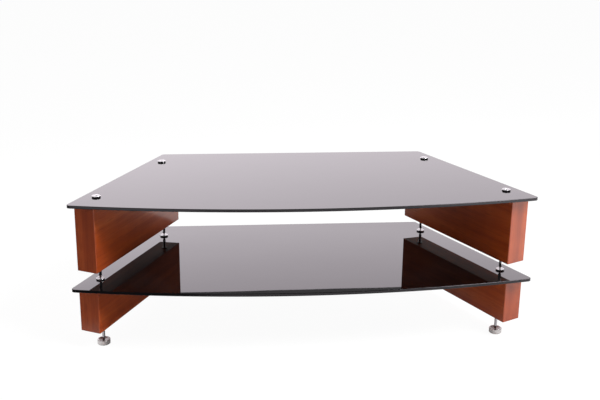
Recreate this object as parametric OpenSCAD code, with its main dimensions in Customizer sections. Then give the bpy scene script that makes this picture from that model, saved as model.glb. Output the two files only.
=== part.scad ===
// Corner tv stand: two black glass shelves on four thick wooden side panels.
// The upper tier stands on the lower one by four spikes, and the whole stands on four spikes in floor cups.
// The frame has +X to the right, +Y to the back and +Z up, with the origin on the floor under the centre.

/* [Shelves] */
// Width of each glass shelf between its front corner points, before they are rounded
shelf_w = 1202; // [1000:2:1400]
// Width of the straight back edge between its corner points, before they are rounded
back_w = 762; // [600:2:900]
// Depth from the line through the front corner points to the back edge
shelf_d = 470; // [440:1:540]
// How far the front edge bows out past the line through the front corner points
bow = 60; // [20:1:100]
// Radius of the rounded corners, seen from above
corner_r = 10; // [4:0.5:20]
// Thickness of the glass
glass_t = 8; // [6:0.5:12]
// Width of the polished arris along both rims of the edge
arris = 1; // [0.4:0.1:2]

/* [Panels] */
// Thickness of the side panels
panel_t = 58.5; // [45:0.5:70]
// Length of a panel along its inner face
panel_len = 460; // [380:1:480]
// Height of the upper panels
upper_panel_h = 178; // [120:1:260]
// Height of the lower panels
lower_panel_h = 121; // [90:1:200]
// How far a panel's outer face lies inside the side edge of the glass
panel_inset = 0; // [0:0.5:10]
// How far the inner front corner lies behind the line through the glass's front corner points
panel_front = 9; // [0:1:30]
// Angle that the front end is cut off square, with the outer corner set back
front_cut = 2.5; // [0:0.5:10]
// Angle that the rear end is cut off square, with the outer corner set forward
rear_cut = 12; // [0:0.5:20]
// Radius of the upright edges
panel_edge_r = 2.5; // [1.5:0.5:6]
// Bevel along the top and bottom edges
panel_ease = 0.8; // [0.2:0.1:1.2]

/* [Places of the fixings] */
// Distance of the fixing axes from the inner face of the panel
fix_in = 22; // [17:0.5:27]
// Distance of the front fixing axis from the inner front corner, along the inner face
fix_front = 51; // [30:1:90]
// Distance of the rear fixing axis from the inner rear corner, along the inner face
fix_rear = 54; // [35:1:90]
// Gap from the floor to the underside of the lower panels
foot_gap = 53; // [40:1:80]
// Gap from the lower shelf to the underside of the upper panels
tier_gap = 37; // [25:1:60]

/* [Discs on the glass] */
// Diameter of the chrome discs
disc_d = 23; // [22:0.5:30]
// Height of the chrome discs
disc_h = 3.5; // [3.2:0.1:8]
// Bevel round the top rim of a disc
disc_bevel = 0.6; // [0.2:0.1:1]
// Bevel round the bottom rim of a disc, which leaves the rim standing clear of the glass
disc_under = 1.2; // [0.4:0.1:1.6]
// Width of the flat ring round the shallow dish in the top of a disc
disc_ring = 2.2; // [1:0.1:4]
// Depth of that dish at the edge of the centre dimple
disc_dish_depth = 0.5; // [0.3:0.1:1]
// Diameter of the centre dimple at its mouth
disc_dimple_d = 5; // [4:0.5:6]
// Diameter of the shank that goes down through the glass
shank_d = 8; // [6:0.5:8]
// Length of the shank that is screwed into the panel
shank_in = 15; // [10:1:18]
// Thickness of the soft washer under a disc
washer_t = 0.5; // [0.3:0.1:1.5]
// How far the washer stays inside the flat underside of the disc
washer_set = 0.5; // [0.25:0.25:1]
// Diameter of the holes in the glass
glass_hole_d = 16; // [12:0.5:18]
// Thickness of the soft pad between glass and panel
pad_t = 1; // [0.5:0.1:3]
// Diameter of the soft pad between glass and panel
pad_d = 30; // [20:1:34]

/* [Threaded inserts] */
// Outer diameter of an insert's body
insert_d = 12; // [11:0.5:15]
// Length of the inserts in the tops of the panels
top_insert_l = 18; // [18:1:25]
// Length of an insert's body in the underside of a panel
foot_insert_l = 30; // [26:1:34]
// Diameter of the flange under the panel
flange_d = 16; // [16:0.5:22]
// Thickness of that flange
flange_t = 1.5; // [1:0.1:3]
// How far the holes in the wood run on past the top inserts
hole_over = 2; // [1:0.5:4]

/* [Spikes] */
// Diameter of a spike's stem
spike_d = 8; // [6:0.5:9]
// Length of a spike's point
point_l = 10; // [8:0.5:14]
// Radius of the blunted tip
tip_r = 0.3; // [0.2:0.05:0.4]
// Length of the stem inside its insert
spike_in = 28; // [20:1:29]
// How far a spike can be screwed further in
spike_travel = 10; // [4:1:12]

/* [Floor cups] */
// Diameter of a floor cup
cup_d = 34; // [28:0.5:40]
// Height of a floor cup without its pad
cup_h = 12.5; // [11:0.5:16]
// Bevel round the top rim of a cup
cup_bevel = 1; // [0.4:0.1:2]
// Width of the flat ring round the dish in the top of a cup
cup_ring = 1.5; // [0.5:0.1:3]
// Depth of that dish at the edge of the centre dimple
cup_dish_depth = 3; // [1:0.1:4]
// Diameter of the centre dimple at its mouth
cup_dimple_d = 6; // [5:0.5:9]
// Thickness of the soft pad under a cup
floor_pad_t = 1; // [0.5:0.1:3]
// How far that pad stays inside the rim of the cup
floor_pad_set = 1.5; // [0.5:0.5:4]

/* [Clearances] */
// Radial clearance of the pieces that are pressed or dropped into a hole
hole_fit = 0.1; // [0.05:0.01:0.2]
// Radial clearance of a screwed or sliding stem in its bore
run_fit = 0.05; // [0.02:0.01:0.09]
// Gap between a spike's tip and the bottom of its dimple
seat_gap = 0.3; // [0.1:0.05:0.5]
// Radius of the flat bottom of a dimple
dimple_bottom_r = 0.5; // [0.4:0.1:0.8]

/* [Hidden] */
$fn = 96;

// Sides and ends of the stand
LEFT = -1;
RIGHT = 1;
FRONT = 0;
REAR = 1;

// Steps of the bowed edge, and facets of the rounded corners that are blended with it
bow_steps = 48;
blend_fn = 32;
// Length by which a cutting body passes the face that it cuts
pass = 1;

// Plan of the shelves, with the origin halfway between the bowed front and the back edge
back_y = (shelf_d + bow) / 2;
line_y = back_y - shelf_d;
side_run = (shelf_w - back_w) / 2;
side_len = sqrt(side_run * side_run + shelf_d * shelf_d);
side_turn = atan(side_run / shelf_d);
side_along = [-side_run / side_len, shelf_d / side_len];
side_out = [shelf_d / side_len, side_run / side_len];
bow_r = (shelf_w * shelf_w / 4 + bow * bow) / (2 * bow);
bow_y = line_y - bow + bow_r;

// Centre of the rounded front corner, which touches the side edge and the bowed edge
corner_start = [shelf_w / 2, line_y - bow_y] - corner_r * side_out;
corner_reach = -corner_start * side_along;
corner_left = corner_reach * corner_reach - corner_start * corner_start + pow(bow_r - corner_r, 2);
corner_step = corner_reach - sqrt(corner_left);
front_corner = [0, bow_y] + corner_start + corner_step * side_along;
bow_half = atan(front_corner[0] / (bow_y - front_corner[1]));
// Centre of the rounded back corner, which touches the side edge and the back edge
back_corner = [
    back_w / 2 - corner_r * (1 - side_out[1]) / side_out[0],
    back_y - corner_r
];

// Plan of the panels: the inner front corner of the right one
inner_front = [
    shelf_w / 2 - (panel_inset + panel_t + side_out[1] * panel_front) / side_out[0],
    line_y + panel_front
];
fix_along = [fix_front, panel_len - fix_rear];

// Levels of the faces from the floor up
lower_panel_z = foot_gap;
lower_pad_z = lower_panel_z + lower_panel_h;
lower_glass_z = lower_pad_z + pad_t;
lower_top_z = lower_glass_z + glass_t;
upper_panel_z = lower_top_z + tier_gap;
top_pad_z = upper_panel_z + upper_panel_h;
top_glass_z = top_pad_z + pad_t;
top_z = top_glass_z + glass_t;

// Dimples have walls at 45 degrees, so that each is as deep as its mouth is wider than its bottom
disc_seat = disc_h - disc_dish_depth - (disc_dimple_d / 2 - dimple_bottom_r);
cup_seat = cup_h - cup_dish_depth - (cup_dimple_d / 2 - dimple_bottom_r);
upper_tip_z = lower_top_z + washer_t + disc_seat + seat_gap;
lower_tip_z = floor_pad_t + cup_seat + seat_gap;

// Colours close to those of the real materials
glass_colour = [0.05, 0.05, 0.06];
wood_colour = [0.45, 0.20, 0.12];
chrome_colour = [0.85, 0.85, 0.87];
steel_colour = [0.70, 0.70, 0.72];
insert_colour = [0.35, 0.33, 0.30];
soft_colour = [0.12, 0.12, 0.12];

// Places its children on the axis of one fixing, at the level z
module at_fixing(side, end, z) {
    mirror([side == LEFT ? 1 : 0, 0, 0])
        translate([inner_front[0], inner_front[1], z])
            rotate(side_turn)
                translate([fix_in, fix_along[end], 0])
                    children();
}

// Places its children on the axes of all four fixings
module at_each_fixing(z) {
    for (side = [LEFT, RIGHT], end = [FRONT, REAR]) {
        at_fixing(side, end, z) children();
    }
}

// A flat ring or sleeve that stands on its lower face
module ring(outer_d, inner_d, height) {
    difference() {
        cylinder(d = outer_d, h = height);
        translate([0, 0, -pass]) cylinder(d = inner_d, h = height + 2 * pass);
    }
}

// One layer of the shelf's plan, drawn in from its edge by inset
module plan_layer(inset, height) {
    edge_r = bow_r - inset;
    turns = [for (i = [0 : bow_steps]) bow_half * (2 * i / bow_steps - 1)];
    linear_extrude(height)
        polygon([for (a = turns) [edge_r * sin(a), bow_y - edge_r * cos(a)]]);
    for (side = [LEFT, RIGHT], centre = [front_corner, back_corner]) {
        translate([side * centre[0], centre[1], 0])
            cylinder(r = corner_r - inset, h = height, $fn = blend_fn);
    }
}

// A glass shelf with its underside at the level z, drilled for the four shanks
module glass_shelf(z) {
    color(glass_colour)
        difference() {
            translate([0, 0, z])
                hull() {
                    plan_layer(arris, glass_t);
                    translate([0, 0, arris]) plan_layer(0, glass_t - 2 * arris);
                }
            at_each_fixing(z - pass) cylinder(d = glass_hole_d, h = glass_t + 2 * pass);
        }
}

// A panel's block from its underside up, in its own frame: X outward, Y back along the inner face
module panel_block(height) {
    front_back = panel_t * tan(front_cut);
    rear_back = panel_len - panel_t * tan(rear_cut);
    r = panel_edge_r;
    corners = [
        [r, r + r * tan(front_cut)],
        [r, panel_len - r - r * tan(rear_cut)],
        [panel_t - r, rear_back - r + r * tan(rear_cut)],
        [panel_t - r, front_back + r]
    ];
    hull() {
        for (corner = corners) {
            translate([corner[0], corner[1], 0])
                cylinder(r = r - panel_ease, h = height, $fn = blend_fn);
            translate([corner[0], corner[1], panel_ease])
                cylinder(r = r, h = height - 2 * panel_ease, $fn = blend_fn);
        }
    }
}

// A side panel with its underside at the level z, bored for its inserts and for the stems of the spikes
module side_panel(side, height, z) {
    hole_d = insert_d + 2 * hole_fit;
    top_hole_l = top_insert_l + hole_over;
    foot_hole_l = max(foot_insert_l, spike_in + spike_travel) + hole_over;
    color(wood_colour)
        difference() {
            mirror([side == LEFT ? 1 : 0, 0, 0])
                translate([inner_front[0], inner_front[1], z])
                    rotate(side_turn)
                        panel_block(height);
            for (end = [FRONT, REAR]) {
                at_fixing(side, end, z + height - top_hole_l) cylinder(d = hole_d, h = top_hole_l + pass);
                at_fixing(side, end, z - pass) cylinder(d = hole_d, h = foot_hole_l + pass);
            }
        }
}

// A turned disc with its shank, from the disc's underside up
module disc() {
    rim_r = disc_d / 2;
    dish_r = rim_r - disc_bevel - disc_ring;
    dimple_r = disc_dimple_d / 2;
    shank_r = shank_d / 2 - run_fit;
    shank_l = washer_t + glass_t + pad_t + shank_in;
    rotate_extrude()
        polygon([
            [0, -shank_l],
            [shank_r - disc_bevel, -shank_l],
            [shank_r, disc_bevel - shank_l],
            [shank_r, 0],
            [rim_r - disc_under, 0],
            [rim_r, disc_under],
            [rim_r, disc_h - disc_bevel],
            [rim_r - disc_bevel, disc_h],
            [dish_r, disc_h],
            [dimple_r, disc_h - disc_dish_depth],
            [dimple_bottom_r, disc_seat],
            [0, disc_seat]
        ]);
}

module discs(glass_top) {
    color(chrome_colour) at_each_fixing(glass_top + washer_t) disc();
}

module washers(glass_top) {
    color(soft_colour)
        at_each_fixing(glass_top)
            ring(disc_d - 2 * disc_under - 2 * washer_set, shank_d + 2 * hole_fit, washer_t);
}

module sleeves(glass_bottom) {
    color(soft_colour)
        at_each_fixing(glass_bottom)
            ring(glass_hole_d - 2 * hole_fit, shank_d + 2 * hole_fit, glass_t);
}

module pads(panel_top) {
    color(soft_colour)
        at_each_fixing(panel_top)
            ring(pad_d, shank_d + 2 * hole_fit, pad_t);
}

module top_inserts(panel_top) {
    color(insert_colour)
        at_each_fixing(panel_top - top_insert_l)
            ring(insert_d, shank_d, top_insert_l);
}

// Inserts in the underside of the panels, each with its flange below the wood
module foot_inserts(panel_bottom) {
    bore_d = spike_d + 2 * run_fit;
    color(insert_colour)
        at_each_fixing(panel_bottom)
            difference() {
                union() {
                    cylinder(d = insert_d, h = foot_insert_l);
                    translate([0, 0, -flange_t]) cylinder(d = flange_d, h = flange_t);
                }
                translate([0, 0, -flange_t - pass])
                    cylinder(d = bore_d, h = foot_insert_l + flange_t + 2 * pass);
            }
}

// A spike from its tip at the level tip_z up into the panel whose underside is at panel_bottom
module spike(side, end, tip_z, panel_bottom) {
    stem_r = spike_d / 2;
    top = panel_bottom + spike_in - tip_z;
    bevel = stem_r / 5;
    color(steel_colour)
        at_fixing(side, end, tip_z)
            rotate_extrude()
                polygon([
                    [0, 0],
                    [tip_r, 0],
                    [stem_r, point_l],
                    [stem_r, top - bevel],
                    [stem_r - bevel, top],
                    [0, top]
                ]);
}

module floor_cup(side, end) {
    rim_r = cup_d / 2;
    dish_r = rim_r - cup_bevel - cup_ring;
    dimple_r = cup_dimple_d / 2;
    color(steel_colour)
        at_fixing(side, end, floor_pad_t)
            rotate_extrude()
                polygon([
                    [0, 0],
                    [rim_r, 0],
                    [rim_r, cup_h - cup_bevel],
                    [rim_r - cup_bevel, cup_h],
                    [dish_r, cup_h],
                    [dimple_r, cup_h - cup_dish_depth],
                    [dimple_bottom_r, cup_seat],
                    [0, cup_seat]
                ]);
}

module floor_pad(side, end) {
    color(soft_colour)
        at_fixing(side, end, 0)
            cylinder(d = cup_d - 2 * floor_pad_set, h = floor_pad_t);
}

module top_glass() { glass_shelf(top_glass_z); }
module lower_glass() { glass_shelf(lower_glass_z); }

module upper_left_panel() { side_panel(LEFT, upper_panel_h, upper_panel_z); }
module upper_right_panel() { side_panel(RIGHT, upper_panel_h, upper_panel_z); }
module lower_left_panel() { side_panel(LEFT, lower_panel_h, lower_panel_z); }
module lower_right_panel() { side_panel(RIGHT, lower_panel_h, lower_panel_z); }

module top_discs() { discs(top_z); }
module lower_discs() { discs(lower_top_z); }
module top_washers() { washers(top_z); }
module lower_washers() { washers(lower_top_z); }
module top_sleeves() { sleeves(top_glass_z); }
module lower_sleeves() { sleeves(lower_glass_z); }
module top_pads() { pads(top_pad_z); }
module lower_pads() { pads(lower_pad_z); }
module upper_top_inserts() { top_inserts(top_pad_z); }
module lower_top_inserts() { top_inserts(lower_pad_z); }
module upper_foot_inserts() { foot_inserts(upper_panel_z); }
module lower_foot_inserts() { foot_inserts(lower_panel_z); }

module upper_spike_fl() { spike(LEFT, FRONT, upper_tip_z, upper_panel_z); }
module upper_spike_fr() { spike(RIGHT, FRONT, upper_tip_z, upper_panel_z); }
module upper_spike_bl() { spike(LEFT, REAR, upper_tip_z, upper_panel_z); }
module upper_spike_br() { spike(RIGHT, REAR, upper_tip_z, upper_panel_z); }

module lower_spike_fl() { spike(LEFT, FRONT, lower_tip_z, lower_panel_z); }
module lower_spike_fr() { spike(RIGHT, FRONT, lower_tip_z, lower_panel_z); }
module lower_spike_bl() { spike(LEFT, REAR, lower_tip_z, lower_panel_z); }
module lower_spike_br() { spike(RIGHT, REAR, lower_tip_z, lower_panel_z); }

module floor_cup_fl() { floor_cup(LEFT, FRONT); }
module floor_cup_fr() { floor_cup(RIGHT, FRONT); }
module floor_cup_bl() { floor_cup(LEFT, REAR); }
module floor_cup_br() { floor_cup(RIGHT, REAR); }

module floor_pad_fl() { floor_pad(LEFT, FRONT); }
module floor_pad_fr() { floor_pad(RIGHT, FRONT); }
module floor_pad_bl() { floor_pad(LEFT, REAR); }
module floor_pad_br() { floor_pad(RIGHT, REAR); }

top_glass();
lower_glass();
upper_left_panel();
upper_right_panel();
lower_left_panel();
lower_right_panel();
top_discs();
lower_discs();
top_washers();
lower_washers();
top_sleeves();
lower_sleeves();
top_pads();
lower_pads();
upper_top_inserts();
lower_top_inserts();
upper_foot_inserts();
lower_foot_inserts();
upper_spike_fl();
upper_spike_fr();
upper_spike_bl();
upper_spike_br();
lower_spike_fl();
lower_spike_fr();
lower_spike_bl();
lower_spike_br();
floor_cup_fl();
floor_cup_fr();
floor_cup_bl();
floor_cup_br();
floor_pad_fl();
floor_pad_fr();
floor_pad_bl();
floor_pad_br();
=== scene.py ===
import math

import bmesh
import bpy
from mathutils import Matrix, Vector


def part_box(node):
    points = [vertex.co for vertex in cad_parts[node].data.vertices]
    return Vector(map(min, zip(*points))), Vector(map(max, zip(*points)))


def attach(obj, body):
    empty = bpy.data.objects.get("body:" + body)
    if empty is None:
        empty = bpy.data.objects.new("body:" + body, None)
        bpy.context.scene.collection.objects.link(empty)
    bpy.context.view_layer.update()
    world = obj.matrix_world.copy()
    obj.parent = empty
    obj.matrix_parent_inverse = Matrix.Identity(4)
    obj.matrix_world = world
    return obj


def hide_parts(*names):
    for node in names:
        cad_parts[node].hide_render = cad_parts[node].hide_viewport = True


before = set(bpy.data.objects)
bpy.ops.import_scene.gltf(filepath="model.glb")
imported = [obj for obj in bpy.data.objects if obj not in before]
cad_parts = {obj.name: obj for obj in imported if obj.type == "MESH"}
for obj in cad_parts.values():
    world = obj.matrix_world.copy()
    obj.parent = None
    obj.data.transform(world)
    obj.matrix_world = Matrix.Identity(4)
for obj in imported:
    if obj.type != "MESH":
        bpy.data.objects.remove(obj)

bl_info = {
    "name": "Corner Stand",
    "version": (1, 0, 0),
    "blender": (4, 5, 0),
    "location": "3D View > Sidebar > Stand",
    "description": "Makes the glass, wood and metal pieces of a corner stand",
    "category": "Object",
}

# Ends of the panels: front or back, left or right
ENDS = ("fl", "fr", "bl", "br")
TIERS = ("upper", "lower")
SIDES = ("left", "right")
SHELF_OF = {"upper": "top", "lower": "lower"}
# How far a cutter stands out of the piece that it cuts
CLEARANCE = 0.01
# The woods of a panel: which part each covers, which way its grain runs and how much lacquer it has
WOODS = (("faces", "length", 0.9), ("ends", "up", 0.9), ("underside", "length", 0.35))
WHITE = (1.0, 1.0, 1.0, 1.0)


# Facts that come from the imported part


def low(node):
    """Height of the underside of a CAD node."""
    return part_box(node)[0].z


def high(node):
    """Height of the top of a CAD node."""
    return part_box(node)[1].z


def axis_of(end):
    """Point on the floor under the fixings at one end of a panel."""
    lowest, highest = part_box("lower_spike_" + end)
    middle = (lowest + highest) / 2
    return Vector((middle.x, middle.y, 0.0))


GLASS_THICKNESS = high("top_glass") - low("top_glass")


# Sizes and colours


def length(name, default, about):
    return bpy.props.FloatProperty(
        name=name, description=about, default=default, min=0.0,
        precision=5, subtype="DISTANCE", unit="LENGTH"
    )


def colour(name, default, about):
    return bpy.props.FloatVectorProperty(
        name=name, description=about, default=default, min=0.0, max=1.0, size=3, subtype="COLOR"
    )


def share(name, default, about, most=1.0):
    return bpy.props.FloatProperty(name=name, description=about, default=default, min=0.0, max=most)


def watts(name, default, about):
    return share(name, default, about + " in watts", 2000.0)


def angle(name, default, about):
    return bpy.props.FloatProperty(
        name=name, description=about, default=math.radians(default), subtype="ANGLE", unit="ROTATION"
    )


class ShelfSettings(bpy.types.PropertyGroup):
    """Glass shelves"""

    width: length("Front width", 1.202, "Width between the front corners before they are rounded")
    back_width: length("Back width", 0.762, "Width between the back corners before they are rounded")
    depth: length("Depth of the sides", 0.470, "Front corners to back edge")
    bow: length("Bow", 0.060, "How far the front edge swells past its corners")
    front_line: bpy.props.FloatProperty(
        name="Front line", description="Where the front corners lie on the Y axis",
        default=-0.205, precision=5, subtype="DISTANCE", unit="LENGTH"
    )
    thickness: length("Thickness", GLASS_THICKNESS, "Thickness of the plate")
    corner: length("Corner radius", 0.010, "Radius of the four upright corners")
    arris: length("Arris", 0.0011, "Radius of the ground edge")
    hole: length("Hole diameter", 0.016, "Holes for the shanks of the discs")
    colour: colour("Glass colour", (0.0012, 0.0010, 0.0011), "Body colour of the black glass")
    tint: colour("Reflection tint", (1.0, 0.93, 1.0), "Tint of the polished surface")
    roughness: share("Roughness", 0.02, "Roughness of the polished surface")


class PanelSettings(bpy.types.PropertyGroup):
    """Side panels"""

    thickness: length("Thickness", 0.0585, "Thickness of a panel")
    run: length("Length", 0.460, "Length of a panel along its inner face")
    front_cut: angle("Front cut", 2.5, "How far the front end is off square")
    rear_cut: angle("Rear cut", 12.0, "How far the rear end is off square")
    corner_x: length("Corner, out", 0.53220, "Inner front corner, from the middle of the stand")
    corner_y: length("Corner, forward", 0.196, "Inner front corner, in front of the middle of the stand")
    edge: length("Edge radius", 0.0025, "Radius of the upright edges")
    ease: length("Eased rim", 0.0008, "Easing of the rims at top and bottom")
    hole: length("Hole diameter", 0.012, "Holes for the inserts and the spikes")
    spike_room: length("Room above a spike", 0.012, "How far a spike's hole goes on above it")
    insert_room: length("Room below an insert", 0.002, "How far an insert's hole goes on below it")
    light: colour("Light wood", (0.47, 0.098, 0.020), "Early wood between the streaks")
    middle: colour("Middle wood", (0.35, 0.056, 0.009), "Main colour of the veneer")
    dark: colour("Dark wood", (0.20, 0.026, 0.004), "Late wood in the streaks")
    pore: colour("Pores", (0.085, 0.011, 0.003), "Short dark pores")
    gloss: share("Lacquer roughness", 0.16, "Roughness of the satin lacquer")


class MetalSettings(bpy.types.PropertyGroup):
    """Discs, spikes and cups"""

    disc: length("Disc diameter", 0.023, "Diameter of a disc")
    disc_height: length("Disc height", 0.0035, "Height of a disc above its washer")
    shank: length("Shank diameter", 0.0079, "Diameter of the shank under a disc")
    spike: length("Spike diameter", 0.008, "Diameter of a spike")
    point: length("Point", 0.010, "Height of the cone of a spike")
    pitch: length("Thread pitch", 0.00125, "Distance between two turns of the thread")
    threaded: length("Thread shown", 0.011, "Length of the thread that shows below a panel")
    cup: length("Cup diameter", 0.034, "Diameter of a floor cup")
    chrome: colour("Chrome", (0.86, 0.855, 0.87), "Colour of the plated discs")
    # Painted shade: the tops are the same chrome as the sides, painted darker to tone down the bright light
    # they mirror
    shaded_chrome_top: colour("Chrome tops", (0.4988, 0.4959, 0.5046), "Colour of the tops of the discs")
    steel: colour("Spike steel", (0.42, 0.40, 0.42), "Colour of the spikes")
    cup_steel: colour("Cup steel", (0.60, 0.57, 0.565), "Colour of the turned cups")
    # Painted shade: the dish is the same steel as the cup, painted darker in its hollow
    shaded_cup_dish: colour("Cup dish", (0.48, 0.456, 0.452), "Colour of the dished tops of the cups")


class FittingSettings(bpy.types.PropertyGroup):
    """Inserts, washers and pads"""

    # Painted shade: the inserts are painted dark for the shadow under the panels
    insert: colour("Insert", (0.20, 0.18, 0.16), "Colour of the dark plated inserts")
    rubber: colour("Rubber", (0.022, 0.022, 0.024), "Colour of the soft pads and washers")


class StageSettings(bpy.types.PropertyGroup):
    """Floor, light and camera"""

    floor: colour("Floor", (0.80, 0.80, 0.80), "Colour of the floor")
    world: share("Soft light", 0.30, "Light from all round", 5.0)
    front: share("Front reflection", 0.05, "How bright the dark front of the studio looks in gloss", 5.0)
    # Painted shade: gloss sees this dark floor colour under the stand and far out at the left; the camera
    # sees it as a faint lit layer under the white
    dim_floor: colour("Dim floor", (0.08, 0.08, 0.08), "Colour of the floor where gloss shows it dim")
    studio_tint: colour("Studio tint", (1.0, 0.965, 0.99), "Tint of the studio in gloss")
    back_power: watts("Back lamp", 14.8, "Power of the lamp behind the stand")
    back_tint: colour("Back lamp tint", (1.0, 0.91, 0.985), "Tint of the lamp behind the stand")
    back_cone: angle("Back lamp cone", 140.0, "Width of the cone of light of the lamp behind the stand")
    key_power: watts("Key lamp", 131.0, "Power of the lamp at the front right")
    fill_power: watts("Fill lamp", 2.0, "Power of the lamp at the front left")
    glow_power: watts("Floor glow", 12.0, "Power of the flat lamp on the floor behind the stand")
    right_power: watts("Right rear lamp", 16.2, "Power of the low lamp beside the rear right end")
    left_power: watts("Left rear lamp", 5.76, "Power of the low lamp beside the rear left end")
    low_power: watts("Low lamp", 6.5, "Power of the lamp near the floor at the right")
    # The painted pool of light on the floor in gloss grows brighter along this turn
    pool: angle("Pool of light", -37.0, "Turn from the way in which the floor grows brighter to the X axis")
    camera: bpy.props.FloatVectorProperty(
        name="Camera", description="Place of the camera", default=(-0.23908, -2.54866, 1.16915),
        precision=5, size=3, subtype="TRANSLATION", unit="LENGTH"
    )
    lens: bpy.props.FloatProperty(
        name="Lens", description="Focal length in millimetres", default=59.0723
    )
    turn: angle("Turn", 5.3686, "Turn of the camera to the right")
    dip: angle("Dip", 17.8505, "Dip of the camera below level")
    tilt: angle("Tilt", 0.7059, "Tilt of the camera about its own axis")


# Helpers for modelling


def slant(shelf):
    """Angle between the side of a shelf and the Y axis."""
    return math.atan2((shelf.width - shelf.back_width) / 2, shelf.depth)


def deselect():
    if bpy.context.mode != "OBJECT":
        bpy.ops.object.mode_set(mode="OBJECT")
    bpy.ops.object.select_all(action="DESELECT")


def take(piece):
    """Makes a piece the only selected and active one."""
    deselect()
    piece.select_set(True)
    bpy.context.view_layer.objects.active = piece


def added(name):
    """Names the new primitive and puts its place into its mesh."""
    piece = bpy.context.view_layer.objects.active
    piece.name = name
    piece.data.name = name
    bpy.ops.object.transform_apply(location=True, rotation=True, scale=True)
    return piece


def edit(piece, kind):
    """Starts edit mode with nothing selected, in face, edge or vertex selection."""
    take(piece)
    bpy.ops.object.mode_set(mode="EDIT")
    bpy.ops.mesh.select_mode(type=kind)
    bpy.ops.mesh.select_all(action="DESELECT")


def pick(piece, kind, wanted):
    """Selects the faces, edges or vertices for which wanted() holds."""
    bpy.ops.mesh.select_mode(type=kind)
    bpy.ops.mesh.select_all(action="DESELECT")
    mesh = bmesh.from_edit_mesh(piece.data)
    mesh.normal_update()
    items = {"FACE": mesh.faces, "EDGE": mesh.edges, "VERT": mesh.verts}[kind]
    found = [item for item in items if wanted(item)]
    for item in found:
        item.select_set(True)
    mesh.select_flush_mode()
    bmesh.update_edit_mesh(piece.data)
    if not found:
        raise RuntimeError(piece.name + ": nothing to shape was found")


def upright(edge):
    a, b = (vert.co for vert in edge.verts)
    return (a.xy - b.xy).length < 1e-6 and abs(a.z - b.z) > 1e-6


def on_rim(edge):
    """True for an edge between the flat top or bottom and a side."""
    if len(edge.link_faces) != 2:
        return False
    tilts = sorted(abs(face.normal.z) for face in edge.link_faces)
    return tilts[0] < 0.05 and tilts[1] > 0.99


def bevel(width, segments):
    """Rounds the edges that are selected."""
    bpy.ops.mesh.bevel(
        offset=width, offset_type="OFFSET", segments=segments, affect="EDGES", clamp_overlap=False
    )


def finish_shape(piece, limit=35.0):
    """Smooth shading that keeps the flat faces flat."""
    take(piece)
    bpy.ops.object.shade_smooth_by_angle(angle=math.radians(limit))
    weighted = piece.modifiers.new("Weighted", "WEIGHTED_NORMAL")
    weighted.keep_sharp = True
    bpy.ops.object.modifier_apply(modifier=weighted.name)
    deselect()


def bore(piece, places, diameter, bottom, top):
    """Cuts an upright hole at each place."""
    for place in places:
        deselect()
        bpy.ops.mesh.primitive_cylinder_add(
            vertices=48, radius=diameter / 2, depth=top - bottom,
            location=(place.x, place.y, (top + bottom) / 2)
        )
        cutter = added("cutter")
        take(piece)
        cut = piece.modifiers.new("Hole", "BOOLEAN")
        cut.operation = "DIFFERENCE"
        cut.solver = "EXACT"
        cut.object = cutter
        bpy.ops.object.modifier_apply(modifier=cut.name)
        bpy.data.objects.remove(cutter, do_unlink=True)


def turned(name, sides, rings):
    """A turned form about the Z axis: a circle, extruded and sized from each ring to the next."""
    deselect()
    radius, height = rings[0]
    bpy.ops.mesh.primitive_circle_add(
        vertices=sides, radius=radius, fill_type="NGON", location=(0, 0, height)
    )
    piece = added(name)
    edit(piece, "FACE")
    bpy.ops.mesh.select_all(action="SELECT")
    for next_radius, next_height in rings[1:]:
        rise = (0, 0, next_height - height)
        bpy.ops.mesh.extrude_region_move(TRANSFORM_OT_translate={"value": rise})
        if next_radius != radius:
            size = next_radius / radius
            bpy.ops.transform.resize(value=(size, size, 1), center_override=(0, 0, 0))
        radius, height = next_radius, next_height
    bpy.ops.mesh.select_all(action="SELECT")
    bpy.ops.mesh.normals_make_consistent(inside=False)
    bpy.ops.object.mode_set(mode="OBJECT")
    return piece


def rounding(corner, start, end, steps):
    """Points of a quarter round from start to end about the corner that it takes off."""
    points = []
    for step in range(steps + 1):
        t = math.pi / 2 * step / steps
        points.append(tuple(
            c + (a - c) * (1 - math.sin(t)) + (b - c) * (1 - math.cos(t))
            for c, a, b in zip(corner, start, end)
        ))
    return points


def dished_top(rim, top, ease, dish, lip, dimple, sink, bend, tip, steps):
    """Rings of an eased rim, a flat land, a dish that sinks in a curve, and a pointed dimple."""
    lip_width = 0.0004
    tip_radius = 0.0005
    rings = rounding((rim, top), (rim, top - ease), (rim - ease, top), 5)
    rings += [(dish + lip_width, top), (dish, top - lip)]
    for step in range(1, steps + 1):
        t = step / steps
        rings.append((dish + (dimple - dish) * t, top - sink * (1 - (1 - t) ** bend)))
    rings.append((tip_radius, top - tip))
    return rings


def copy_to(source, name, place):
    """A copy with its own mesh, moved to its place in the mesh."""
    take(source)
    bpy.ops.object.duplicate(linked=False)
    piece = bpy.context.view_layer.objects.active
    piece.name = name
    piece.data.name = name
    edit(piece, "VERT")
    bpy.ops.mesh.select_all(action="SELECT")
    bpy.ops.transform.translate(value=place)
    bpy.ops.object.mode_set(mode="OBJECT")
    return piece


def second_material(piece, wanted):
    """Puts the second material on the faces for which wanted() holds, and the first on the others."""
    for face in piece.data.polygons:
        face.material_index = 1 if wanted(face) else 0


def dress(piece, body, materials, nodes):
    """Puts on the materials, ties the piece to its body and hides the CAD nodes that it stands for."""
    for material in materials:
        piece.data.materials.append(material)
    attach(piece, body)
    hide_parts(*nodes)


# Helpers for materials


def blank(name):
    """A material with only its output and its surface shader."""
    material = bpy.data.materials.new(name)
    material.use_nodes = True
    tree = material.node_tree
    tree.nodes.clear()
    output = tree.nodes.new("ShaderNodeOutputMaterial")
    shader = tree.nodes.new("ShaderNodeBsdfPrincipled")
    tree.links.new(shader.outputs["BSDF"], output.inputs["Surface"])
    return material, tree, shader


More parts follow.
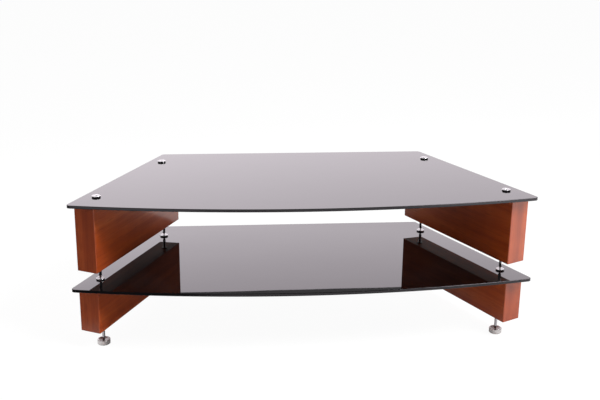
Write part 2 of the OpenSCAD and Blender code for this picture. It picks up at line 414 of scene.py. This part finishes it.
def put(tree, kind, inputs=None, **settings):
    """Adds a node. An input is a value, or a socket to link."""
    node = tree.nodes.new(kind)
    for key, value in settings.items():
        setattr(node, key, value)
    for key, value in (inputs or {}).items():
        if isinstance(value, bpy.types.NodeSocket):
            tree.links.new(value, node.inputs[key])
        else:
            node.inputs[key].default_value = value
    return node


def noise(tree, vector, scale, detail, roughness=0.5, distortion=0.0):
    return put(tree, "ShaderNodeTexNoise", {
        "Vector": vector, "Scale": scale, "Detail": detail, "Roughness": roughness, "Distortion": distortion
    }).outputs["Fac"]


def ramp(tree, value, stops):
    """A colour ramp. Each stop is a position and a colour or a grey."""
    node = put(tree, "ShaderNodeValToRGB", {"Fac": value})
    elements = node.color_ramp.elements
    while len(elements) < len(stops):
        elements.new(0.5)
    for element, (position, tone) in zip(elements, stops):
        element.position = position
        rgb = (tone, tone, tone) if isinstance(tone, float) else tuple(tone)
        element.color = (*rgb, 1.0)
    return node.outputs["Color"]


def shaded(tree, value, base, darker, lighter, start=0.3, end=0.7):
    """The base colour, from darker at start to lighter at end."""
    return ramp(tree, value, (
        (start, [c * darker for c in base]), (end, [min(1.0, c * lighter) for c in base])
    ))


def spread(tree, value, low_value, high_value, start=0.0, end=1.0):
    """Maps start to end onto low_value to high_value."""
    return put(tree, "ShaderNodeMapRange", {
        "Value": value, "From Min": start, "From Max": end, "To Min": low_value, "To Max": high_value
    }).outputs["Result"]


def maths(tree, operation, *values):
    """The result of a Math node."""
    return put(tree, "ShaderNodeMath", dict(enumerate(values)), operation=operation).outputs[0]


def blend(tree, share_of_b, a, b):
    """Mixes two colours or greys, which are inputs 6 and 7 and output 2 of the node."""
    return put(tree, "ShaderNodeMix", {0: share_of_b, 6: a, 7: b}, data_type="RGBA").outputs[2]


def mix_shaders(tree, share_of_b, a, b):
    return put(tree, "ShaderNodeMixShader", {0: share_of_b, 1: a, 2: b}).outputs["Shader"]


def bump(tree, height, strength, distance):
    return put(tree, "ShaderNodeBump", {
        "Height": height, "Strength": strength, "Distance": distance
    }).outputs["Normal"]


def glass_material(settings):
    material, tree, shader = blank("black_glass")
    place = put(tree, "ShaderNodeTexCoord").outputs["Object"]
    haze = noise(tree, place, 9.0, detail=4.0)
    tree.links.new(shaded(tree, haze, settings.colour, 0.7, 1.3), shader.inputs["Base Color"])
    smear = noise(tree, place, 30.0, detail=5.0, roughness=0.6)
    rough = spread(tree, smear, settings.roughness * 0.6, settings.roughness * 1.5, start=0.3, end=0.7)
    tree.links.new(rough, shader.inputs["Roughness"])
    # Rolled and tempered plate is very slightly wavy
    wave = noise(tree, place, 6.0, detail=1.0)
    tree.links.new(bump(tree, wave, strength=0.35, distance=0.0004), shader.inputs["Normal"])
    shader.inputs["IOR"].default_value = 1.5
    shader.inputs["Specular Tint"].default_value = (*settings.tint, 1.0)
    return material


def wood_material(settings, name, turn, centre, shift, along, lacquer):
    """Satin lacquered veneer. The grain runs along the panel, or up its ends."""
    material, tree, shader = blank(name)
    place = put(tree, "ShaderNodeTexCoord").outputs["Object"]
    panel = put(tree, "ShaderNodeMapping", {
        "Vector": place, "Location": centre, "Rotation": (0.0, 0.0, turn)
    }, vector_type="TEXTURE").outputs["Vector"]

    def grain(across, lengthwise, offset, **kind):
        """Noise drawn out along the grain."""
        scale = (across, lengthwise, across) if along == "length" else (across, across, lengthwise)
        drawn_out = put(tree, "ShaderNodeMapping", {
            "Vector": panel, "Location": (shift + offset, shift * 0.7, shift * 1.3 + offset), "Scale": scale
        }, vector_type="POINT").outputs["Vector"]
        return noise(tree, drawn_out, 1.0, **kind)

    figure = grain(9.0, 1.1, 0.0, detail=2.0, distortion=0.8)
    bands = grain(46.0, 1.8, 3.0, detail=4.0, roughness=0.6, distortion=0.5)
    fibre = grain(520.0, 7.0, 7.0, detail=3.0, roughness=0.65)
    curl = grain(14.0, 26.0, 11.0, detail=2.0)
    pores = grain(900.0, 22.0, 17.0, detail=1.0)

    tone = blend(tree, 0.42, bands, figure)
    tone = blend(tree, 0.16, tone, fibre)
    tone = blend(tree, 0.10, tone, curl)
    halfway = [0.5 * (a + b) for a, b in zip(settings.dark, settings.middle)]
    body = ramp(tree, tone, (
        (0.30, settings.dark), (0.44, halfway), (0.52, settings.middle), (0.66, settings.light)
    ))
    pore_share = ramp(tree, pores, ((0.60, 0.0), (0.74, 0.55)))
    coloured = blend(tree, pore_share, body, (*settings.pore, 1.0))
    tree.links.new(coloured, shader.inputs["Base Color"])
    rough = spread(tree, fibre, 0.38, 0.55, start=0.3, end=0.7)
    tree.links.new(rough, shader.inputs["Roughness"])
    relief = blend(tree, 0.4, pores, fibre)
    tree.links.new(bump(tree, relief, strength=0.12, distance=0.0001), shader.inputs["Normal"])
    shader.inputs["Specular IOR Level"].default_value = 0.12
    shader.inputs["Coat Weight"].default_value = lacquer
    shader.inputs["Coat Roughness"].default_value = settings.gloss
    shader.inputs["Coat IOR"].default_value = 1.48
    return material


def metal_material(name, base, roughness, anisotropic=0.0):
    """Plated or turned metal. Where it is anisotropic, the gloss is drawn out round the upright axis."""
    material, tree, shader = blank(name)
    place = put(tree, "ShaderNodeTexCoord").outputs["Object"]
    cloud = noise(tree, place, 160.0, detail=3.0)
    tree.links.new(shaded(tree, cloud, base, 0.9, 1.06), shader.inputs["Base Color"])
    worn = spread(tree, cloud, roughness * 0.75, roughness * 1.025)
    tree.links.new(worn, shader.inputs["Roughness"])
    tangent = put(tree, "ShaderNodeTangent", direction_type="RADIAL", axis="Z").outputs["Tangent"]
    tree.links.new(tangent, shader.inputs["Tangent"])
    shader.inputs["Metallic"].default_value = 1.0
    shader.inputs["Anisotropic"].default_value = anisotropic
    return material


def insert_material(settings):
    """Dark metal with slight unevenness. The darkness is painted shade for the shadow under the panels."""
    material, tree, shader = blank("dark_insert")
    place = put(tree, "ShaderNodeTexCoord").outputs["Object"]
    cloud = noise(tree, place, 240.0, detail=4.0)
    tree.links.new(shaded(tree, cloud, settings.insert, 0.8, 1.15), shader.inputs["Base Color"])
    roughness = 0.35
    worn = spread(tree, cloud, roughness * 0.7, roughness * 1.4)
    tree.links.new(worn, shader.inputs["Roughness"])
    tree.links.new(bump(tree, cloud, strength=0.1, distance=0.00005), shader.inputs["Normal"])
    shader.inputs["Metallic"].default_value = 1.0
    return material


def rubber_material(settings):
    material, tree, shader = blank("soft_rubber")
    place = put(tree, "ShaderNodeTexCoord").outputs["Object"]
    speckle = noise(tree, place, 900.0, detail=3.0)
    tone = shaded(tree, speckle, settings.rubber, 0.7, 1.5, start=0.35, end=0.65)
    tree.links.new(tone, shader.inputs["Base Color"])
    tree.links.new(spread(tree, speckle, 0.65, 0.85), shader.inputs["Roughness"])
    tree.links.new(bump(tree, speckle, strength=0.25, distance=0.0001), shader.inputs["Normal"])
    return material


# Operators


class STAND_OT_glass_shelves(bpy.types.Operator):
    """Make the two black glass shelves"""

    bl_idname = "stand.glass_shelves"
    bl_label = "Glass Shelves"

    def execute(self, context):
        s = context.scene.stand_shelf
        material = glass_material(s)
        for tier in TIERS:
            node = SHELF_OF[tier] + "_glass"
            piece = self.plate(s, node + "_plate", low(node))
            dress(piece, tier + "_tier", [material], [node])
        return {"FINISHED"}

    def plate(self, s, name, bottom):
        """Part of a wide disc, whose rim is the bow, cut straight at the back and at the sides."""
        half = s.width / 2
        radius = (half ** 2 + s.bow ** 2) / (2 * s.bow)
        top = bottom + s.thickness
        middle = bottom + s.thickness / 2
        side = slant(s)
        back_line = s.front_line + s.depth
        deselect()
        bpy.ops.mesh.primitive_cylinder_add(
            vertices=720, radius=radius, depth=s.thickness,
            location=(0, s.front_line - s.bow + radius, middle)
        )
        piece = added(name)
        cuts = [((0, back_line, middle), (0, 1, 0))]
        for sign in (-1, 1):
            corner = (sign * half, s.front_line, middle)
            cuts.append((corner, (sign * math.cos(side), math.sin(side), 0)))
        edit(piece, "FACE")
        for point, outward in cuts:
            bpy.ops.mesh.select_all(action="SELECT")
            bpy.ops.mesh.bisect(plane_co=point, plane_no=outward, use_fill=True, clear_outer=True)
        # Upright corners
        near = 0.0005
        sweep = math.asin(half / radius)
        front_corner = math.pi / 2 - side + sweep
        back_corner = math.pi / 2 + side
        for line, opening in ((s.front_line, front_corner), (back_line, back_corner)):
            pick(piece, "EDGE", lambda edge: (
                upright(edge)
                and abs(edge.verts[0].co.y - line) < near
                and abs(edge.verts[0].co.x) > s.back_width / 2 - near
            ))
            bevel(s.corner / math.tan(opening / 2), segments=10)
        # Ground and polished edge
        pick(piece, "EDGE", on_rim)
        bevel(s.arris, segments=3)
        bpy.ops.object.mode_set(mode="OBJECT")
        bore(piece, [axis_of(end) for end in ENDS], s.hole, bottom - CLEARANCE, top + CLEARANCE)
        finish_shape(piece)
        return piece


class STAND_OT_side_panels(bpy.types.Operator):
    """Make the four wooden side panels"""

    bl_idname = "stand.side_panels"
    bl_label = "Side Panels"

    def execute(self, context):
        s = context.scene.stand_panel
        side = slant(context.scene.stand_shelf)
        # How far apart in the figure the wood of two panels lies
        apart = 5.37
        shift = 0.0
        for tier in TIERS:
            for name in SIDES:
                node = tier + "_" + name + "_panel"
                sign = 1 if name == "right" else -1
                corner = Vector((sign * s.corner_x, -s.corner_y, 0.0))
                piece = self.panel(s, tier, node, sign, side, corner)
                shift += apart
                centre = (corner.x, corner.y, low(node))
                woods = [
                    wood_material(s, node + "_" + part, sign * side, centre, shift, along, lacquer)
                    for part, along, lacquer in WOODS
                ]
                dress(piece, tier + "_tier", woods, [node])
                lengthwise = Vector((-sign * math.sin(side), math.cos(side), 0.0))
                for face in piece.data.polygons:
                    face.material_index = self.wood_of(face.normal, lengthwise)
        return {"FINISHED"}

    def wood_of(self, normal, lengthwise):
        """Place in WOODS of the wood for a face that looks this way."""
        faces, ends, underside = range(len(WOODS))
        if normal.z < -0.9:
            return underside
        return ends if abs(normal.dot(lengthwise)) > 0.75 else faces

    def panel(self, s, tier, node, sign, side, corner):
        """A board with eased edges, made at the origin and then carried to its place."""
        bottom, top = low(node), high(node)
        t, run = s.thickness, s.run
        deselect()
        bpy.ops.mesh.primitive_cube_add(
            size=1, location=(t / 2, run / 2, (bottom + top) / 2), scale=(t, run, top - bottom)
        )
        piece = added(node + "_veneered")
        edit(piece, "VERT")
        # Both ends are cut askew
        pick(piece, "VERT", lambda vert: vert.co.x > t / 2 and vert.co.y < run / 2)
        bpy.ops.transform.translate(value=(0, t * math.tan(s.front_cut), 0))
        pick(piece, "VERT", lambda vert: vert.co.x > t / 2 and vert.co.y > run / 2)
        bpy.ops.transform.translate(value=(0, -t * math.tan(s.rear_cut), 0))
        pick(piece, "EDGE", upright)
        bevel(s.edge, segments=5)
        pick(piece, "EDGE", on_rim)
        bevel(s.ease, segments=2)
        # Turned to the slant of the shelf's side, and carried out to its corner
        bpy.ops.mesh.select_all(action="SELECT")
        if sign < 0:
            bpy.ops.transform.resize(value=(-1, 1, 1), center_override=(0, 0, 0))
            bpy.ops.mesh.normals_make_consistent(inside=False)
        bpy.ops.transform.rotate(value=-sign * side, orient_axis="Z", center_override=(0, 0, 0))
        bpy.ops.transform.translate(value=corner)
        bpy.ops.object.mode_set(mode="OBJECT")
        places = [axis_of(end) for end in ENDS if axis_of(end).x * sign > 0]
        # Room for a spike that is screwed all the way in
        spike_hole = high(tier + "_spike_fl") + s.spike_room
        insert_hole = low(tier + "_top_inserts") - s.insert_room
        bore(piece, places, s.hole, bottom - CLEARANCE, spike_hole)
        bore(piece, places, s.hole, insert_hole, top + CLEARANCE)
        finish_shape(piece)
        return piece


class STAND_OT_discs(bpy.types.Operator):
    """Make the eight chromed discs"""

    bl_idname = "stand.discs"
    bl_label = "Discs"

    def execute(self, context):
        s = context.scene.stand_metal
        polished = metal_material("chrome_side", s.chrome, roughness=0.28)
        # The face is a darker copy of the chrome: painted shade
        faced = metal_material("chrome_face", s.shaded_chrome_top, roughness=0.28, anisotropic=0.7)
        rim, shank, h = s.disc / 2, s.shank / 2, s.disc_height
        deep = high("top_discs") - h - low("top_discs")
        ease = 0.0006
        under = 0.0012
        land = 0.0022
        rings = [(shank - ease, -deep), (shank, ease - deep), (shank, 0.0)]
        rings += [(rim - under, 0.0), (rim, under)]
        rings += dished_top(
            rim, h, ease, dish=rim - ease - land, lip=0.00003, dimple=0.0025,
            sink=0.0005, bend=1.6, tip=0.0025, steps=6
        )
        first = turned("disc", sides=96, rings=rings)
        finish_shape(first, limit=40.0)
        for tier in TIERS:
            node = SHELF_OF[tier] + "_discs"
            bottom = high(node) - h
            for end in ENDS:
                place = axis_of(end) + Vector((0, 0, bottom))
                piece = copy_to(first, SHELF_OF[tier] + "_disc_" + end, place)
                dress(piece, tier + "_tier", [polished, faced], [node])
                second_material(piece, lambda face: (
                    face.normal.z > 0.9 and face.center.z > bottom + h / 2
                ))
        bpy.data.objects.remove(first, do_unlink=True)
        return {"FINISHED"}


class STAND_OT_spikes(bpy.types.Operator):
    """Make the eight threaded spikes"""

    bl_idname = "stand.spikes"
    bl_label = "Spikes"

    def execute(self, context):
        s = context.scene.stand_metal
        material = metal_material("polished_spike", s.steel, roughness=0.16, anisotropic=0.2)
        for tier in TIERS:
            node = tier + "_spike_fl"
            total = high(node) - low(node)
            shown = low(tier + "_foot_inserts") - low(node)
            first = turned("spike", sides=48, rings=self.profile(s, total, shown - s.threaded))
            finish_shape(first, limit=40.0)
            for end in ENDS:
                node = tier + "_spike_" + end
                piece = copy_to(first, node + "_turned", axis_of(end) + Vector((0, 0, low(node))))
                dress(piece, tier + "_foot_" + end, [material], [node])
            bpy.data.objects.remove(first, do_unlink=True)
        return {"FINISHED"}

    def profile(self, s, total, thread_start):
        """Rings of the blunt point, the stem, the thread and the chamfered end."""
        stem = s.spike / 2
        root = stem - 0.0006
        chamfer = 0.0006
        chamfer_start = total - 0.0008
        thread_end = total - 0.001
        blunt = ((0.0001, 0.0), (0.0003, 0.0002))
        shoulder = ((stem - 0.0003, s.point - 0.0005), (stem, s.point + 0.0002))
        groove = ((stem, thread_start - 0.0006), (stem - 0.0005, thread_start))
        rings = [*blunt, *shoulder, *groove]
        # Radius and height, in shares of the pitch, of the rings of one turn
        one_turn = ((root, 0.15), (stem, 0.50), (stem, 0.62), (root, 0.97))
        height = thread_start
        while height + s.pitch < thread_end:
            rings += [(radius, height + part * s.pitch) for radius, part in one_turn]
            height += s.pitch
        rings += [(root, chamfer_start), (root - chamfer, total)]
        return rings


class STAND_OT_floor_cups(bpy.types.Operator):
    """Make the four turned floor cups"""

    bl_idname = "stand.floor_cups"
    bl_label = "Floor Cups"

    def execute(self, context):
        s = context.scene.stand_metal
        material = metal_material("turned_cup", s.cup_steel, roughness=0.32, anisotropic=0.4)
        # The dish is a darker copy of the cup steel: painted shade in the hollow
        dished = metal_material("shaded_cup_dish", s.shaded_cup_dish, roughness=0.5, anisotropic=0.3)
        node = "floor_cup_fl"
        h = high(node) - low(node)
        rim = s.cup / 2
        ease = 0.001
        under = 0.0006
        land = 0.0015
        dish = rim - ease - land
        rings = [(rim - under, 0.0), (rim, under)]
        rings += dished_top(
            rim, h, ease, dish, lip=0.00004, dimple=0.003, sink=0.0030, bend=1.15, tip=0.0055, steps=8
        )
        first = turned("cup", sides=128, rings=rings)
        finish_shape(first, limit=40.0)
        for end in ENDS:
            node = "floor_cup_" + end
            axis = axis_of(end)
            piece = copy_to(first, node + "_turned", axis + Vector((0, 0, low(node))))
            dress(piece, "floor_cup_body_" + end, [material, dished], [node])
            second_material(piece, lambda face: (
                face.normal.z > 0.3 and (face.center.xy - axis.xy).length < dish
            ))
        bpy.data.objects.remove(first, do_unlink=True)
        return {"FINISHED"}


class STAND_OT_fittings(bpy.types.Operator):
    """Finish the inserts, washers, sleeves and pads that come from the CAD model"""

    bl_idname = "stand.fittings"
    bl_label = "Fittings"

    def execute(self, context):
        s = context.scene.stand_fitting
        # The inserts' dark metal is painted shade
        plated = insert_material(s)
        rubber = rubber_material(s)
        for name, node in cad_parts.items():
            if node.hide_render:
                continue
            material = plated if name.endswith("_inserts") else rubber
            for slot in node.material_slots:
                slot.material = material
        return {"FINISHED"}


class STAND_OT_stage(bpy.types.Operator):
    """Set up the pale floor, the soft light and the camera"""

    bl_idname = "stand.stage"
    bl_label = "Stage"

    def execute(self, context):
        s = context.scene.stand_stage
        self.floor(s)
        self.world(context, s)
        self.lamps(s)
        self.camera(context, s)
        context.scene.view_settings.view_transform = "Standard"
        return {"FINISHED"}

    def floor(self, s):
        """White to the camera. In gloss it has painted light in white stretches, painted shade in dim ones.
        """
        deselect()
        bpy.ops.mesh.primitive_plane_add(size=40, location=(0, 0, 0))
        plane = added("floor")
        material, tree, shader = blank("pale_floor")
        output = next(node for node in tree.nodes if node.type == "OUTPUT_MATERIAL")
        tree.nodes.remove(shader)
        place = put(tree, "ShaderNodeTexCoord").outputs["Object"]
        axes = put(tree, "ShaderNodeSeparateXYZ", {"Vector": place}).outputs
        mirrored = self.seen_by(tree, "Is Glossy Ray", "Is Transmission Ray")
        tone = shaded(tree, noise(tree, place, 12.0, detail=3.0), s.floor, 0.985, 1.0)
        lit = put(tree, "ShaderNodeBsdfDiffuse", {"Color": tone}).outputs["BSDF"]
        faint = put(tree, "ShaderNodeBsdfDiffuse", {"Color": (*s.dim_floor, 1.0)}).outputs["BSDF"]
        # Painted light: in gloss the white glows strongest far out at the right and behind the stand
        right = spread(tree, axes["X"], 0.0, 1.0, start=0.7, end=1.2)
        behind = spread(tree, axes["Y"], 0.0, 1.0, start=0.5, end=0.9)
        extra_painted_light = maths(tree, "MULTIPLY", mirrored, maths(tree, "MAXIMUM", right, behind))
        strength = spread(tree, extra_painted_light, 0.95, 1.9)
        white = put(tree, "ShaderNodeEmission", {"Color": WHITE, "Strength": strength}).outputs["Emission"]
        # White with a faint shadow to the camera and in the painted white stretches, else lit or painted
        # dim
        painted_shade_part, painted_light_part = self.stretches(tree, place, axes, s)
        seen = put(tree, "ShaderNodeAddShader", {0: white, 1: faint}).outputs["Shader"]
        unseen = mix_shaders(tree, maths(tree, "MULTIPLY", mirrored, painted_shade_part), lit, faint)
        total = maths(tree, "MULTIPLY", mirrored, painted_light_part)
        total = maths(tree, "MAXIMUM", total, self.seen_by(tree, "Is Camera Ray"))
        tree.links.new(mix_shaders(tree, total, unseen, seen), output.inputs["Surface"])
        plane.data.materials.append(material)

    def stretches(self, tree, place, axes, s):
        """How much painted shade (dim) and painted light (white) each place of the floor has in gloss."""
        turned_place = put(tree, "ShaderNodeMapping", {"Vector": place, "Rotation": (0.0, 0.0, s.pool)})
        across = put(tree, "ShaderNodeSeparateXYZ", {"Vector": turned_place.outputs["Vector"]}).outputs["X"]
        out = maths(tree, "ABSOLUTE", axes["X"])
        # Painted shade: far out at the left the floor is dim, from about a metre in front of the origin
        # backwards
        left = spread(tree, across, 1.0, 0.0, start=-0.75, end=-0.60)
        past_near = spread(tree, axes["Y"], 0.0, 1.0, start=-1.25, end=-1.0)
        far_left = maths(tree, "MULTIPLY", left, past_near)
        # Painted shadow: under the stand and behind it the floor is dim too
        middle = spread(tree, out, 0.7, 0.0, start=0.40, end=0.56)
        past_front = spread(tree, axes["Y"], 0.0, 1.0, start=-0.6, end=-0.3)
        under = maths(tree, "MULTIPLY", middle, past_front)
        painted_shade_part = maths(tree, "MAXIMUM", far_left, under)
        # Painted light: beside the stand it is white where it isn't dim
        beside = spread(tree, out, 0.0, 1.0, start=0.50, end=0.56)
        beside = maths(tree, "SUBTRACT", beside, painted_shade_part)
        # A painted pool of light lies to the right of the stand and behind it
        pool = spread(tree, across, 0.0, 1.0, start=0.2, end=0.7)
        back = spread(tree, axes["Y"], 0.0, 0.9, start=0.60, end=0.80)
        pool = maths(tree, "MAXIMUM", pool, back)
        return painted_shade_part, maths(tree, "MAXIMUM", pool, beside)

    def seen_by(self, tree, *kinds):
        """1 for the named kinds of ray, else 0."""
        path = put(tree, "ShaderNodeLightPath").outputs
        total = path[kinds[0]]
        for kind in kinds[1:]:
            total = maths(tree, "MAXIMUM", total, path[kind])
        return total

    def world(self, context, s):
        """White to the camera. In gloss the studio is light behind the stand and dark in front of it."""
        world = bpy.data.worlds.new("studio")
        context.scene.world = world
        world.use_nodes = True
        tree = world.node_tree
        tree.nodes.clear()
        output = tree.nodes.new("ShaderNodeOutputWorld")
        way = put(tree, "ShaderNodeTexCoord").outputs["Generated"]
        axes = put(tree, "ShaderNodeSeparateXYZ", {"Vector": way}).outputs
        level = spread(tree, axes["Y"], s.front, 1.0, start=0.55, end=0.88)
        # Upwards the studio first grows brighter and then dimmer
        band = spread(tree, axes["Z"], 1.0, 1.19, start=0.315, end=0.335)
        dusk = spread(tree, axes["Z"], 1.0, 0.64, start=0.335, end=0.41)
        # Near the horizon it is dim, so that the glass doesn't look white from low down
        horizon = spread(tree, axes["Z"], 0.45, 1.0, start=0.12, end=0.25)
        # Towards the right it grows dimmer
        sideways = spread(tree, axes["X"], 1.10, 0.87, start=-0.07, end=0.27)
        for part in (band, dusk, horizon, sideways):
            level = maths(tree, "MULTIPLY", level, part)
        gloss = self.background(tree, (*s.studio_tint, 1.0), level)
        soft = self.background(tree, WHITE, s.world)
        white = self.background(tree, WHITE, 1.0)
        glossy_rays = self.seen_by(tree, "Is Glossy Ray", "Is Transmission Ray")
        unseen = mix_shaders(tree, glossy_rays, soft, gloss)
        seen = mix_shaders(tree, self.seen_by(tree, "Is Camera Ray"), unseen, white)
        tree.links.new(seen, output.inputs["Surface"])

    def background(self, tree, tone, strength):
        return put(tree, "ShaderNodeBackground", {"Color": tone, "Strength": strength}).outputs[0]

    def lamps(self, s):
        """Each lamp has a name, a place, a target, a size and a power."""
        square = (1.3, 1.3)
        rear = (0.25, 0.5)
        self.lamp("back_lamp", (0.0, 2.6, 1.65), (0.44, 0.0, 1.21), (4.4, 1.3), s.back_power,
                  tint=s.back_tint, cone=s.back_cone)
        self.lamp("key_lamp", (1.9, -1.6, 2.8), (0.1, 0.0, 0.3), square, s.key_power)
        # These four don't show in gloss
        for name, place, target, size, power in (
            ("floor_glow", (0.2, 1.15, 0.03), (0.2, 1.15, 1.0), (3.8, 1.3), s.glow_power),
            ("right_rear_lamp", (1.9, 0.55, 0.26), (-0.4, 0.2, 0.31), rear, s.right_power),
            ("left_rear_lamp", (-1.9, 0.55, 0.26), (0.4, 0.2, 0.31), rear, s.left_power),
            ("low_lamp", (2.2, -0.6, 0.08), (-0.5, -0.1, 0.12), (0.4, 0.1), s.low_power),
        ):
            self.lamp(name, place, target, size, power, glossy=False)
        self.lamp("fill_lamp", (-2.4, -1.6, 1.2), (-0.3, -0.1, 0.2), square, s.fill_power)

    def lamp(self, name, place, target, size, power, tint=(1.0, 1.0, 1.0), cone=math.pi, glossy=True):
        """An area lamp that the camera doesn't see."""
        deselect()
        turn = (Vector(target) - Vector(place)).to_track_quat("-Z", "Y").to_euler()
        bpy.ops.object.light_add(type="AREA", location=place, rotation=turn)
        lamp = bpy.context.view_layer.objects.active
        lamp.name = name
        lamp.data.shape = "RECTANGLE"
        lamp.data.size, lamp.data.size_y = size
        lamp.data.energy = power
        lamp.data.color = tint
        lamp.data.spread = cone
        lamp.visible_camera = False
        lamp.visible_glossy = glossy

    def camera(self, context, s):
        deselect()
        aim = (
            Matrix.Rotation(-s.turn, 4, "Z")
            @ Matrix.Rotation(math.pi / 2 - s.dip, 4, "X")
            @ Matrix.Rotation(s.tilt, 4, "Z")
        )
        bpy.ops.object.camera_add(location=s.camera, rotation=aim.to_euler())
        camera = context.view_layer.objects.active
        camera.name = "camera"
        camera.data.sensor_width = 36.0
        camera.data.lens = s.lens
        context.scene.camera = camera


class STAND_PT_panel(bpy.types.Panel):
    """Lists the pieces of the stand"""

    bl_idname = "STAND_PT_panel"
    bl_label = "Corner Stand"
    bl_space_type = "VIEW_3D"
    bl_region_type = "UI"
    bl_category = "Stand"

    def draw(self, context):
        for group, operators in PIECES:
            settings = getattr(context.scene, group)
            box = self.layout.box()
            for key in settings.__annotations__:
                box.prop(settings, key)
            for operator in operators:
                box.operator(operator.bl_idname)


GROUPS = {
    "stand_shelf": ShelfSettings,
    "stand_panel": PanelSettings,
    "stand_metal": MetalSettings,
    "stand_fitting": FittingSettings,
    "stand_stage": StageSettings,
}
PIECES = (
    ("stand_shelf", (STAND_OT_glass_shelves,)),
    ("stand_panel", (STAND_OT_side_panels,)),
    ("stand_metal", (STAND_OT_discs, STAND_OT_spikes, STAND_OT_floor_cups)),
    ("stand_fitting", (STAND_OT_fittings,)),
    ("stand_stage", (STAND_OT_stage,)),
)
OPERATORS = [operator for _, operators in PIECES for operator in operators]


def register():
    for name, group in GROUPS.items():
        bpy.utils.register_class(group)
        setattr(bpy.types.Scene, name, bpy.props.PointerProperty(type=group))
    for operator in OPERATORS:
        bpy.utils.register_class(operator)
    bpy.utils.register_class(STAND_PT_panel)


def unregister():
    bpy.utils.unregister_class(STAND_PT_panel)
    for operator in reversed(OPERATORS):
        bpy.utils.unregister_class(operator)
    for name, group in reversed(GROUPS.items()):
        delattr(bpy.types.Scene, name)
        bpy.utils.unregister_class(group)


def main():
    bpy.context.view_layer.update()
    register()
    bpy.ops.stand.glass_shelves()
    bpy.ops.stand.side_panels()
    bpy.ops.stand.discs()
    bpy.ops.stand.spikes()
    bpy.ops.stand.floor_cups()
    bpy.ops.stand.fittings()
    bpy.ops.stand.stage()


if __name__ == "__main__":
    main()
